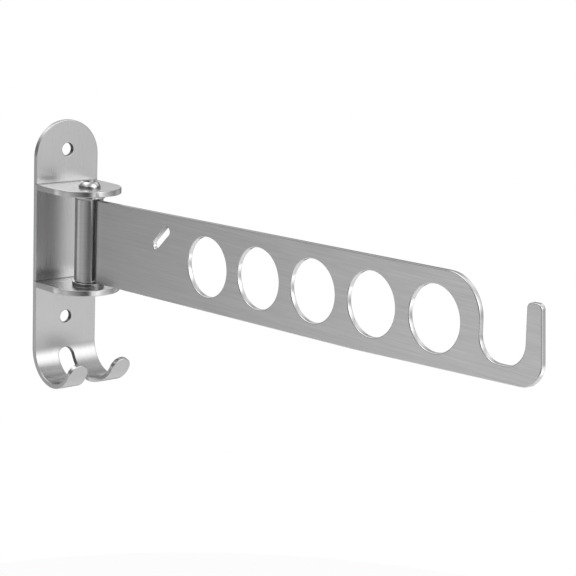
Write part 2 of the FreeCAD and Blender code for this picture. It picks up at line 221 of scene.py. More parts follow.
@dataclass
class Blank:
    """A flat sheet blank with softened edges, before it is bent.

    Its first coordinate runs along the strip, the way it is bent, and its second across it. The faces
    are divided at each of cuts_along, so that they can bend there. The wall callable gives the painted
    shade or painted highlight on the cut wall at a point of an outline: 1 is the darkest painted shade,
    0 is the finish's own shade and -1 is the brightest painted highlight.
    """

    outline: list[Point]
    thickness: float
    holes: list[list[Point]] = field(default_factory=list)
    edge_round: float = 0.35
    round_steps: int = 3
    cuts_along: list[float] = field(default_factory=list)
    wall_painted_light: Callable[[Point], float] | None = None

    def _wall(self, mesh: BMesh, loop: list[Point]) -> list[list[BMEdge]]:
        """Raise the wall of one outline, with its two rounded edges.

        Args:
            mesh: The mesh that is being built.
            loop: The outline, with the sheet on its left.

        Returns:
            For each of the sheet's two faces, the edges that bound it.
        """
        inward, travelled = [], [0.0]
        for place, (here, onward) in enumerate(pairs(loop)):
            before, after = Vector(loop[place - 1]), Vector(onward)
            first, second = (Vector(here) - before).normalized(), (after - Vector(here)).normalized()
            lean = Vector((-first.y - second.y, first.x + second.x)).normalized()
            inward.append(lean / max(MITRE_LIMIT, lean.dot(Vector((-first.y, first.x)))))
            travelled.append(travelled[-1] + (after - Vector(here)).length)
        radius, half = self.edge_round, self.thickness / 2
        upper = []
        for angle in spaced(0.0, math.pi / 2, self.round_steps):
            sine = math.sin(angle)
            upper.append((radius * (1 - sine), half - radius * (1 - math.cos(angle)), sine))
        rows = upper + [(inset, -height, cut) for inset, height, cut in reversed(upper)]
        mask, painted_light = (mesh.verts.layers.float[layer] for layer in (CUT_MASK, PAINTED_LIGHT_MASK))
        grid = []
        for inset, height, cut in rows:
            line = []
            for here, lean in zip(loop, inward):
                vert = mesh.verts.new((here[0] + lean.x * inset, here[1] + lean.y * inset, height))
                vert[mask] = cut
                # Painted shade or painted highlight on the cut wall, strongest on the wall and gone on
                # the faces
                vert[painted_light] = cut * self.wall_painted_light(here) if self.wall_painted_light else 0.0
                line.append(vert)
            grid.append(line)
        for row in range(len(rows) - 1):
            for place, corners in enumerate(band(grid[row], grid[row + 1])):
                add_quad(mesh, corners, travelled[place:place + 2], [rows[row][1], rows[row + 1][1]])
        return [[mesh.edges.get(ends) for ends in pairs(line)] for line in (grid[0], grid[-1])]

    def form(self, name: str, place: Place) -> Object:
        """Cut out the blank, draw its grain on it, bend it and put it in the scene.

        Args:
            name: The piece's name.
            place: Where a point of the flat blank, along, across and out of its middle, ends up.

        Returns:
            The finished piece.
        """
        mesh, grain = start_mesh()
        faces_of: list[list[BMEdge]] = [[], []]
        for number, loop in enumerate([self.outline, *self.holes]):
            loop = without_repeats(loop)
            if (area_of(loop) > 0) != (number == 0):
                loop.reverse()
            for side, edges in zip(faces_of, self._wall(mesh, loop)):
                side.extend(edges)
        for edges in faces_of:
            for edge in edges:
                edge.smooth = False
            made = bmesh.ops.triangle_fill(mesh, use_beauty=True, use_dissolve=False, edges=edges)
            for face in (item for item in made["geom"] if isinstance(item, BMFace)):
                for corner in face.loops:
                    corner[grain].uv = (corner.vert.co.x * MM, corner.vert.co.y * MM)
        for cut in self.cuts_along:
            everything = mesh.verts[:] + mesh.edges[:] + mesh.faces[:]
            bmesh.ops.bisect_plane(mesh, geom=everything, dist=CUT_REACH, plane_co=(cut, 0, 0),
                                   plane_no=(1, 0, 0))
        for vert in mesh.verts:
            vert.co = Vector(place(vert.co.x, vert.co.y, vert.co.z)) * MM
        return finish_piece(name, mesh)


@dataclass
class Turned:
    """A piece spun about the pivot axis from a half section of (radius, height) points.

    Its points at the radius of its rim or further out take the finish's painted wall shade.
    """

    section: list[Point]
    axis_y: float
    base: float
    segments: int = CIRCLE_POINTS
    rim: float = math.inf

    def form(self, name: str) -> Object:
        """Spin the section, closed, and put the piece in the scene."""
        return finish_piece(name, self.spin(closed=True))

    def spin(self, closed: bool) -> BMesh:
        """Spin the section about the axis.

        Args:
            closed: Whether the section's last point joins its first one.

        Returns:
            The mesh, in metres, with its turning marks laid round it.
        """
        mesh, _ = start_mesh()
        rows, travelled = [], [0.0]
        for here, after in pairs(self.section):
            travelled.append(travelled[-1] + math.dist(here, after))
            rows.append([self.spot(mesh, *here, math.tau * turn / self.segments)
                         for turn in range(self.segments)])
        for row in range(len(rows) if closed else len(rows) - 1):
            lower, upper = rows[row], rows[(row + 1) % len(rows)]
            reach = (self.section[row][0] + self.section[(row + 1) % len(rows)][0]) / 2
            for turn, corners in enumerate(band(lower, upper)):
                along = [reach * math.tau * share / self.segments for share in (turn, turn + 1)]
                add_quad(mesh, corners, along, travelled[row:row + 2])
        return mesh

    def spot(self, mesh: BMesh, radius: float, height: float, turn: float) -> BMVert:
        """Add the point at a radius, a height above the base and a turn in radians."""
        x, y = radius * math.sin(turn), self.axis_y + radius * math.cos(turn)
        vert = mesh.verts.new((x * MM, y * MM, (self.base + height) * MM))
        # Painted shade on the outer wall of a washer
        vert[mesh.verts.layers.float[PAINTED_LIGHT_MASK]] = float(radius > self.rim - TOUCH)
        return vert


def rounded_ring(inner: float, outer: float, length: float, edge: float) -> list[Point]:
    """The half section of a tube or washer whose four edges are rounded.

    Args:
        inner: The bore's radius.
        outer: The outside radius.
        length: The length along the axis.
        edge: The radius of the rounded edges.

    Returns:
        The section, closed, from the bore's lower edge.
    """
    corners = ((inner + edge, edge, 180), (outer - edge, edge, 270), (outer - edge, length - edge, 0),
               (inner + edge, length - edge, 90))
    return [point for radius, height, start in corners
            for point in arc((radius, height), edge, start, 90, step=30)]


# Sub-assemblies


@dataclass
class BackPlate:
    """The plate that is screwed to the wall, with its foot bent into a notched double hook."""

    width: float = 37.0
    thickness: float = 2.5
    top: float = 58.0
    bend_depth: float = 57.8
    inner_radius: float = 15.3
    turn: float = 164.0
    tongue: float = 2.0
    hole_radius: float = 3.25
    hole_heights: tuple[float, float] = (43.0, -43.5)
    notch_width: float = 9.4
    notch_mouth: float = 15.0
    notch_drop: float = 2.2
    # The walls inside the plate get painted shade up to a turn of the bend, below the band at the top
    crown_band: float = 1.0
    dark_turn: float = 60.0
    dark_fade: float = 25.0
    # How finely the bend and the notch are divided
    bend_steps: int = 36
    flare_steps: int = 40

    @property
    def middle_radius(self) -> float:
        """Radius of the bend at the middle of the sheet."""
        return self.inner_radius + self.thickness / 2

    @property
    def bend_length(self) -> float:
        """Length of the bend along the middle of the sheet."""
        return self.middle_radius * math.radians(self.turn)

    @property
    def tip(self) -> float:
        """Where the flat strip ends."""
        return -self.bend_depth - self.bend_length - self.tongue

    @property
    def tip_round(self) -> float:
        """Radius of each prong's round tip."""
        return (self.width / 2 - self.notch_mouth / 2) / 2

    def bent(self, along: float, across: float, lift: float) -> tuple[float, float, float]:
        """Where a point of the flat strip lies on the bent plate.

        Args:
            along: Height on the flat strip, which goes on downward past the bend's start.
            across: Distance to the right of the centre line.
            lift: Distance from the middle of the sheet, positive towards the room.

        Returns:
            The point in the model's frame.
        """
        beyond = -self.bend_depth - along
        if beyond <= 0:
            return across, -self.thickness / 2 - lift, along
        angle = min(beyond / self.middle_radius, math.radians(self.turn))
        run = max(0.0, beyond - self.bend_length)
        reach = self.middle_radius - lift
        y = -(self.inner_radius + self.thickness) + reach * math.cos(angle) - run * math.sin(angle)
        z = -self.bend_depth - reach * math.sin(angle) - run * math.cos(angle)
        return across, y, z

    def notch_half_width(self, along: float) -> float:
        """Half the width of the notch, which widens from the bottom of the bend towards the tips."""
        narrow, wide = self.notch_width / 2, self.notch_mouth / 2
        flare_start = self.bent(-self.bend_depth - self.middle_radius * math.pi / 2, 0, 0)[1]
        flare_end = self.bent(self.tip + self.tip_round, 0, self.thickness / 2)[1]
        share = (flare_start - self.bent(along, 0, 0)[1]) / (flare_start - flare_end)
        return narrow + (wide - narrow) * min(1.0, max(0.0, share))

    def wall_painted_light(self, point: Point) -> float:
        """How much painted shade the wall of a screw hole or of the notch's upper part gets.

        Args:
            point: A point of the outline or of a hole.

        Returns:
            From 1 on the flat plate down to 0 in the bend and on the plate's outer edge.
        """
        along, across = point
        below_crown = along < self.top - self.crown_band
        inside = below_crown and abs(across) < self.notch_half_width(along) + SLACK
        turned = (-self.bend_depth - along) / self.bend_length * self.turn
        dark = (self.dark_turn + self.dark_fade - turned) / self.dark_fade
        return min(1.0, max(0.0, dark)) if inside else 0.0

    def outline(self) -> list[Point]:
        """The flat strip's outline, as points (along, across)."""
        half, tip_round = self.width / 2, self.tip_round
        crown = arc((self.top - half, 0), half, -90, 180)
        prong = arc((self.tip + tip_round, (half + self.notch_mouth / 2) / 2), tip_round, 90, 180)
        crest, spring = (
            -self.bend_depth - self.middle_radius * math.asin(drop / self.middle_radius)
            for drop in (self.notch_drop, self.notch_drop + self.notch_width / 2))
        stations = spaced(self.tip + tip_round, spring - self.tip - tip_round, self.flare_steps)
        edge = [(along, self.notch_half_width(along)) for along in stations[1:-1]]
        top = [(spring + (crest - spring) * y, x * self.notch_width / 2)
               for x, y in arc((0, 0), 1, 0, 90)]
        right = prong + edge + top
        return crown + right + [(along, -across) for along, across in reversed(right)]

    def build(self) -> Object:
        """Make the plate."""
        cuts = spaced(-self.bend_depth, -self.bend_length, self.bend_steps)
        holes = [ring((height, 0), self.hole_radius, BORE_POINTS) for height in self.hole_heights]
        blank = Blank(self.outline(), self.thickness, holes, cuts_along=cuts, wall_painted_light=self.wall_painted_light)
        return blank.form("plate_sheet", self.bent)


@dataclass
class Ear:
    """A D-shaped ear that stands out from the plate and carries the pivot."""

    name: str
    node: str
    bore_radius: float
    bottom: float
    width: float = 37.0
    reach: float = 36.0
    thickness: float = 3.0
    plate_thickness: float = 2.5
    pivot_reach: float = 22.0

    def build(self) -> Object:
        """Make the ear."""
        half = self.width / 2
        nose = arc((-(self.reach - half), 0), half, 90, 180)
        outline = [(-self.plate_thickness, -half), (-self.plate_thickness, half), *nose]
        bore = ring((-self.pivot_reach, 0), self.bore_radius, BORE_POINTS)
        middle = self.bottom + self.thickness / 2
        blank = Blank(outline, self.thickness, [bore])
        return blank.form(self.name, lambda along, across, lift: (across, along, middle + lift))


@dataclass
class Pivot:
    """The screw that the arm turns on, its distance sleeve and the washers above and below the eye."""

    axis_y: float = -22.0
    half_gap: float = 23.3
    ear_top: float = 26.3
    sleeve_inner: float = 3.2
    sleeve_outer: float = 4.5
    sleeve_edge: float = 0.15
    washer_inner: float = 4.6
    washer_outer: float = 8.0
    washer_thickness: float = 2.0
    washer_edge: float = 0.3
    shank: float = 3.0
    head_radius: float = 5.5
    head_height: float = 3.2
    head_edge: float = 0.15
    head_rim: float = 0.7
    head_flat: float = 3.9
    dome_radius: float = 6.0
    head_lip: float = 0.3
    lip_bevel: tuple[float, float] = (0.05, 0.1)
    socket_sides: int = 6
    socket_width: float = 4.0
    socket_depth: float = 2.0
    dish_depth: float = 1.3
    pit_depth: float = 0.4
    upper_bore: float = 3.2
    lower_bore: float = 3.05
    end_radius: float = 0.4
    end_inset: float = 0.3
    end_chamfer: float = 0.7
    # Painted shade on the band round the head's foot
    foot_painted_shade: float = 0.7

    def build_sleeve(self) -> Object:
        """Make the distance sleeve."""
        section = rounded_ring(self.sleeve_inner, self.sleeve_outer, self.half_gap * 2,
                               self.sleeve_edge)
        return Turned(section, self.axis_y, -self.half_gap).form("sleeve_tube")

    def build_washer(self, name: str, base: float) -> Object:
        """Make one washer, by its name and the height of its lower face."""
        section = rounded_ring(self.washer_inner, self.washer_outer, self.washer_thickness,
                               self.washer_edge)
        return Turned(section, self.axis_y, base, rim=self.washer_outer).form(name)

    def _dome(self) -> list[Point]:
        """The rounded side of the head, from its rim up to its flat."""
        low, high = (self.head_radius, self.head_rim), (self.head_flat, self.head_height)
        chord = math.dist(low, high)
        off = math.sqrt(self.dome_radius ** 2 - chord ** 2 / 4)
        centre = ((low[0] + high[0]) / 2 + (low[1] - high[1]) / chord * off,
                  (low[1] + high[1]) / 2 + (high[0] - low[0]) / chord * off)
        start, stop = (math.degrees(math.atan2(y - centre[1], x - centre[0])) for x, y in (low, high))
        return arc(centre, self.dome_radius, start, stop - start, step=6)

    def _section(self) -> list[Point]:
        """The screw's half section, from the middle of its end up to the rim of the head's dish."""
        end, lip = -(self.ear_top * 2 - self.end_inset), self.head_flat - self.head_lip
        shoulder = self.head_radius - self.head_edge
        section = [(self.end_radius, end), (self.shank - self.end_chamfer, end),
                   (self.shank, end + self.end_chamfer), (self.shank, 0.0), (shoulder, 0.0)]
        section += arc((shoulder, self.head_edge), self.head_edge, 270, 90, step=30)
        section += self._dome()
        section += [(lip, self.head_height),
                    (lip - self.lip_bevel[0], self.head_height - self.lip_bevel[1])]
        return without_repeats(section)

    def build_screw(self) -> Object:
        """Make the button-head screw with its six-sided socket."""
        lathe = Turned(self._section(), self.axis_y, self.ear_top)
        mesh = lathe.spin(closed=False)
        mesh.verts.ensure_lookup_table()
        top, foot = mesh.verts[-lathe.segments:], mesh.verts[:lathe.segments]
        corner = self.socket_width / 2 / math.cos(math.pi / self.socket_sides)
        dish, floor = (
            [lathe.spot(mesh, corner, self.head_height - depth, math.tau * side / self.socket_sides)
             for side in range(self.socket_sides)] for depth in (self.dish_depth, self.socket_depth))
        edges = [mesh.edges.get(ends) for ends in pairs(top)]
        edges += [mesh.edges.new(ends) for ends in pairs(dish)]
        bmesh.ops.triangle_fill(mesh, use_beauty=True, use_dissolve=False, edges=edges)
        for corners in band(dish, floor):
            mesh.faces.new(corners)
        pit = lathe.spot(mesh, 0.0, self.head_height - self.socket_depth - self.pit_depth, 0.0)
        for ends in pairs(floor):
            mesh.faces.new((*ends, pit))
        # Painted shade in the head's dish and socket, and a lighter painted shade round its foot
        painted_light = mesh.verts.layers.float[PAINTED_LIGHT_MASK]
        for vert in (*top, *dish, *floor, pit):
            vert[painted_light] = 1.0
        for vert in mesh.verts:
            if self.head_edge - SLACK < vert.co.z / MM - self.ear_top < self.head_rim + TOUCH:
                vert[painted_light] = self.foot_painted_shade
        mesh.faces.new(foot)
        grain = mesh.loops.layers.uv[GRAIN_MAP]
        for loop in (loop for face in mesh.faces for loop in face.loops):
            if loop[grain].uv.length == 0:
                loop[grain].uv = (loop.vert.co.x, loop.vert.co.y)
        return finish_piece("pivot_screw", mesh)


@dataclass
class SwingArm:
    """The arm: one flat bar whose inner end is rolled round the pivot and whose outer end is a hook."""

    height: float = 42.0
    thickness: float = 2.5
    edge_round: float = 0.45
    rise: float = 2.0
    pivot_reach: float = 22.0
    eye_bore: float = 4.55
    sweep_radius: float = 2.5
    seam: float = 74.0
    seam_taper: float = 1.0
    first_hole_reach: float = 96.0
    hole_pitch: float = 36.0
    hole_count: int = 5
    hole_radius: float = 14.0
    slot_reach: float = 61.4
    slot_height: float = 9.0
    slot_length: float = 11.3
    slot_angle: float = 40.8
    slot_width: float = 4.2
    top_edge_drop: float = 0.5
    shoulder_radius: float = 17.3
    throat_reach: float = 24.4
    throat_width: float = 23.3
    throat_floor: float = 12.1
    throat_radius: float = 10.0
    prong_height: float = 14.5
    prong_width: float = 8.5
    prong_lean: float = 1.2
    prong_radius: float = 2.5
    heel_radius: float = 10.5
    lower_edge_rise: float = 1.9
    lower_edge_start: float = 98.0
    # Painted shade and painted highlights on the cut wall, and where they change
    seam_highlight_foot: float = -14.5
    seam_highlight_fade: float = 0.1
    seam_highlight: float = -0.8
    wall_highlight: float = -0.5
    slot_painted_shade: float = 0.6
    slot_highlight_end: float = 0.3
    top_painted_shade: float = 0.4
    edge_band: float = 2.0
    # How finely the bends are divided
    sweep_steps: int = 10
    eye_steps: int = 64

    @property
    def eye_middle(self) -> float:
        """Radius of the eye at the middle of the sheet."""
        return self.eye_bore + self.thickness / 2

    @property
    def sweep_middle(self) -> float:
        """Radius of the reverse bend at the middle of the sheet."""
        return self.sweep_radius + self.thickness / 2

    @property
    def run_out(self) -> float:
        """Distance from the pivot's axis to where the bar becomes flat."""
        return math.sqrt((self.eye_middle + self.sweep_middle) ** 2 - self.sweep_middle ** 2)

    @property
    def flat_start(self) -> float:
        """Where the bar becomes flat, in the model's frame."""
        return -self.pivot_reach - self.run_out

    @property
    def sweep_turn(self) -> float:
        """Angle of the reverse bend, in radians."""
        return math.acos(self.sweep_middle / (self.eye_middle + self.sweep_middle))

    @property
    def sweep_length(self) -> float:
        """Length of the reverse bend along the middle of the sheet."""
        return self.sweep_middle * self.sweep_turn

    @property
    def rolled_length(self) -> float:
        """Length of sheet from the flat bar to the lower end of the eye's free edge."""
        eye_turn = self.sweep_turn + math.pi + math.radians(self.seam)
        return self.sweep_length + self.eye_middle * eye_turn

    @property
    def slot_centre(self) -> float:
        """How far the slot's centre is from the flat bar's start."""
        return self.slot_reach - self.run_out

    def hole_centre(self, number: int) -> float:
        """How far the centre of a hanger hole, counted from 0, is from the flat bar's start."""
        return self.first_hole_reach - self.run_out + self.hole_pitch * number

    def bent(self, along: float, across: float, lift: float) -> tuple[float, float, float]:
        """Where a point of the flat bar lies once its end is rolled.

        Args:
            along: Distance along the bar, as a y of the model's frame, going on past its flat start.
            across: Height.
            lift: Distance from the middle of the sheet, positive towards -X on the flat bar.

        Returns:
            The point in the model's frame.
        """
        beyond = along - self.flat_start
        if beyond <= 0:
            return -lift, along, across
        if beyond <= self.sweep_length:
            angle, reach = beyond / self.sweep_middle, self.sweep_middle + lift
            x = self.sweep_middle - reach * math.cos(angle)
            return x, self.flat_start + reach * math.sin(angle), across
        angle = (beyond - self.sweep_length) / self.eye_middle - self.sweep_turn
        reach = self.eye_middle - lift
        return reach * math.cos(angle), -self.pivot_reach + reach * math.sin(angle), across

    def on_bar(self, reach: float, height: float) -> Point:
        """A point of the side view: outward from the flat bar's start and up from its middle line."""
        rise = math.radians(self.rise)
        return (self.flat_start - reach * math.cos(rise) + height * math.sin(rise),
                reach * math.sin(rise) + height * math.cos(rise))

    def outline(self) -> list[Point]:
        """The blank's outline in side view, with the rolled end laid out flat."""
        half = self.height / 2
        bar_half = half * math.cos(math.radians(self.rise))
        near = self.hole_centre(self.hole_count - 1) + self.throat_reach
        far = near + self.throat_width
        back = far + self.prong_width
        top, bottom = bar_half - self.top_edge_drop, -bar_half + self.lower_edge_rise
        curl, tip, heel = self.throat_radius, self.prong_radius, self.heel_radius
        shoulder, prong = self.shoulder_radius, self.prong_height - tip
        points = [
            *arc((near - shoulder, top - shoulder), shoulder, 90, -90),
            *arc((near + curl, curl - self.throat_floor), curl, 180, 90),
            *arc((far - curl, curl - self.throat_floor), curl, 270, 90),
            *arc((far + tip, prong), tip, 180, -90, step=10),
            *arc((back - self.prong_lean - tip, prong), tip, 90, -90, step=10),
            *arc((back - heel, bottom + heel), heel, 0, -90)]
        points.append((self.hole_centre(0) + self.lower_edge_start, -bar_half))
        free = self.flat_start + self.rolled_length
        # Extra points on the free edge where its painted highlight ends
        seam_highlight_ends = (self.seam_highlight_foot - self.seam_highlight_fade, self.seam_highlight_foot + self.seam_highlight_fade)
        ends = [(free - self.seam_taper * (half + height) / self.height, height)
                for height in (-half, *seam_highlight_ends, half)]
        inner_end = [(self.flat_start, -half), *ends, (self.flat_start, half)]
        return [self.on_bar(*point) for point in points] + inner_end

    def openings(self) -> list[list[Point]]:
        """The outlines of the hanger holes and the slanted slot, in side view."""
        found = [ring(self.on_bar(self.hole_centre(number), 0), self.hole_radius, CIRCLE_POINTS)
                 for number in range(self.hole_count)]
        lean, half = math.radians(self.slot_angle), self.slot_length / 2
        slot: list[Point] = []
        for side, start in ((1, self.slot_angle - 90), (-1, self.slot_angle + 90)):
            centre = (self.slot_centre + side * half * math.cos(lean),
                      self.slot_height + side * half * math.sin(lean))
            slot += arc(centre, self.slot_width / 2, start, 180, step=10)
        return found + [[self.on_bar(*point) for point in slot]]

    def wall_painted_light(self, point: Point) -> float:
        """How much painted shade or painted highlight the cut wall gets at a point of the blank.

        Args:
            point: A point of the outline or of an opening.

        Returns:
            From 1 for the darkest painted shade, through 0 for the finish's own shade, down to -1 for
            the brightest painted highlight.
        """
        along, height = point
        # A painted highlight along the eye's free edge, above its foot
        if along > self.flat_start + self.rolled_length - self.seam_taper - SLACK:
            return self.seam_highlight if height > self.seam_highlight_foot else 0.0
        reach, inside = self.flat_start - along, self.height / 2 - self.edge_band
        # Painted shade on the slot's upper walls and the top edge short of the hook; a painted
        # highlight on the other walls
        if abs(reach - self.slot_centre) < self.slot_length and abs(height) < inside:
            bright = reach < self.slot_centre - self.slot_highlight_end * self.slot_length
            return self.wall_highlight if bright else self.slot_painted_shade
        on_top = height > math.tan(math.radians(self.rise)) * reach + inside
        short_of_hook = reach < self.hole_centre(self.hole_count - 1) + self.hole_radius / 2
        return self.top_painted_shade if on_top and short_of_hook else self.wall_highlight

    def build(self) -> Object:
        """Make the arm."""
        cuts = spaced(self.flat_start, self.sweep_length, self.sweep_steps)
        cuts += spaced(cuts[-1], self.rolled_length - self.sweep_length, self.eye_steps)[1:-1]
        blank = Blank(self.outline(), self.thickness, self.openings(), self.edge_round, cuts_along=cuts,
                      wall_painted_light=self.wall_painted_light)
        return blank.form("swing_arm", self.bent)


# Finishes


class Bench:
    """Adds nodes to one tree and joins them."""

    def __init__(self, tree: NodeTree) -> None:
        """Start from a tree with no nodes.

        Args:
            tree: The tree of a material, a world or a group.
        """
        self.tree = tree
        tree.nodes.clear()
        self.column = 0

    def add(self, kind: str, sources: dict[str | int, object] | None = None,
            **settings: object) -> Node:
        """Add a node, set its properties and feed its inputs.

        Args:
            kind: The shader node's type name, without its first part, ShaderNode.
            sources: A link or a plain value for each input, by the input's name or number.
            **settings: Properties of the node.

        Returns:
            The node.
        """
        node = self.tree.nodes.new(f"ShaderNode{kind}")
        self.column += 1
        node.location = (self.column * 180, -(self.column % 4) * 140)
        for setting, choice in settings.items():
            setattr(node, setting, choice)
        for key, source in (sources or {}).items():
            self.feed(node.inputs[key], source)
        return node

    def feed(self, socket: NodeSocket, source: object) -> None:
        """Give an input a link, or a plain value."""
        if isinstance(source, NodeSocket):
            self.tree.links.new(source, socket)
        else:
            socket.default_value = source

    def calc(self, operation: str, first: object, second: object = 0.0, third: object = 0.0,
             clamp: bool = False) -> NodeSocket:
        """Add a Math node.

        Args:
            operation: The operation's name.
            first: Its first input, a socket or a number.
            second: Its second input.
            third: Its third input.
            clamp: Whether the result is held between 0 and 1.

        Returns:
            Its output.
        """
        return self.add("Math", {0: first, 1: second, 2: third}, operation=operation,
                        use_clamp=clamp).outputs[0]

    def times(self, *factors: object) -> NodeSocket:
        """Multiply numbers."""
        return reduce(lambda product, factor: self.calc("MULTIPLY", product, factor), factors)

    def scale(self, vector: object, factor: object) -> NodeSocket:
        """Multiply a vector or a colour by a number."""
        return self.add("VectorMath", {0: vector, "Scale": factor}, operation="SCALE").outputs[0]


def new_group(name: str, inputs: dict[str, float | None],
              outputs: tuple[str, ...]) -> tuple[Bench, NodeOutputs, NodeInputs]:
    """Start a shader node group with named sockets.

    Args:
        name: The group's name.
        inputs: Each input's name, with its default, or with None where it takes a vector.
        outputs: The name of each output.

    Returns:
        A bench on the group, what the group is given, and what it has to be fed as its result.
    """
    tree = bpy.data.node_groups.new(name, "ShaderNodeTree")
    for label, default in inputs.items():
        kind = "NodeSocketVector" if default is None else "NodeSocketFloat"
        socket = tree.interface.new_socket(name=label, in_out="INPUT", socket_type=kind)
        if default is not None:
            socket.default_value = default
    for label in outputs:
        tree.interface.new_socket(name=label, in_out="OUTPUT", socket_type="NodeSocketFloat")
    bench = Bench(tree)
    return bench, tree.nodes.new("NodeGroupInput").outputs, tree.nodes.new("NodeGroupOutput").inputs


class Effects:
    """The node groups that the finishes share.

    GRAIN_LAYERS holds the weight, widening, lengthening and shift of the grain's fine and broad lines.
    """

    GRAIN_LAYERS = ((0.6, 1.0, 1.0, 0.0), (0.4, 3.1, 2.2, 17.0))

    def __init__(self) -> None:
        """Build each group once."""
        self.grain = self._grain()
        self.marks = self._marks()
        self.edge = self._edge()
        self.joint_shade = self._joint_painted_shade()

    @staticmethod
    def _grain() -> NodeTree:
        """Fine parallel lines left by an abrasive belt or a cutting tool."""
        bench, given, result = new_group(
            "ParallelGrain", {"Sheet": None, "Line Width": 0.4, "Line Length": 20.0, "Contrast": 0.1},
            ("Shade", "Height"))
        split = bench.add("SeparateXYZ", {0: given["Sheet"]}).outputs
        layers = []
        for weight, widen, lengthen, shift in Effects.GRAIN_LAYERS:
            length, width = (bench.times(given[size], by) for size, by in (
                ("Line Length", lengthen), ("Line Width", widen)))
            joined = bench.add("CombineXYZ", {
                0: bench.calc("DIVIDE", split["X"], length), 1: bench.calc("DIVIDE", split["Y"], width),
                2: bench.calc("ADD", split["Z"], shift)})
            noise = bench.add("TexNoise", {
                "Vector": joined.outputs[0], "Scale": 1.0, "Detail": 2.0, "Roughness": 0.6})
            layers.append(bench.times(noise.outputs["Fac"], weight))
        mixed = bench.calc("ADD", *layers)
        swing = bench.times(bench.calc("SUBTRACT", mixed, 0.5), given["Contrast"])
        bench.feed(result["Shade"], bench.calc("ADD", swing, 1.0))
        bench.feed(result["Height"], mixed)
        return bench.tree

    @staticmethod
    def _marks() -> NodeTree:
        """Soft clouds of handling and uneven belt pressure."""
        bench, given, result = new_group(
            "SoftMarks", {"Place": None, "Size": 30.0, "Contrast": 0.05}, ("Shade",))
        scaled = bench.scale(given["Place"], bench.calc("DIVIDE", 1.0, given["Size"]))
        noise = bench.add("TexNoise", {"Vector": scaled, "Scale": 1.0, "Detail": 3.0})
        swing = bench.times(bench.calc("SUBTRACT", noise.outputs["Fac"], 0.5), given["Contrast"])
        bench.feed(result["Shade"], bench.calc("ADD", swing, 1.0))
        return bench.tree

    @staticmethod
    def _edge() -> NodeTree:
        """The tumbled edge of a cut sheet: smoother than its faces, and brighter by a painted
        highlight.
        """
        bench, given, result = new_group(
            "TumbledEdgeHighlight",
            {"Cut": 0.0, "Face Roughness": 0.35, "Edge Roughness": 0.25, "Edge Shade": 1.05},
            ("Shade", "Roughness"))
        soft = bench.calc("SMOOTH_MIN", given["Cut"], 1.0, 0.2, clamp=True)
        change = bench.calc("SUBTRACT", given["Edge Roughness"], given["Face Roughness"])
        rough = bench.calc("MULTIPLY_ADD", soft, change, given["Face Roughness"])
        bench.feed(result["Roughness"], rough)
        lift = bench.calc("SUBTRACT", given["Edge Shade"], 1.0)
        bench.feed(result["Shade"], bench.calc("MULTIPLY_ADD", soft, lift, 1.0))
        return bench.tree

    @staticmethod
    def _joint_painted_shade() -> NodeTree:
        """Painted shade: a thin dark line on a plate's front where another sheet butts against it, at
        one height.
        """
        bench, given, result = new_group(
            "JointPaintedShade",
            {"Place": None, "Height": 0.0, "Half Width": 0.3, "Depth": 0.5, "Front": -1.25}, ("Shade",))
        split = bench.add("SeparateXYZ", {0: given["Place"]}).outputs
        above = bench.calc("SUBTRACT", split["Z"], given["Height"])
        away = bench.calc("DIVIDE", above, given["Half Width"])
        bell = bench.calc("EXPONENT", bench.times(away, away, -1.0))
        faced = bench.calc("LESS_THAN", split["Y"], given["Front"])
        dark = bench.times(bell, faced, given["Depth"])
        bench.feed(result["Shade"], bench.calc("SUBTRACT", 1.0, dark, clamp=True))
        return bench.tree


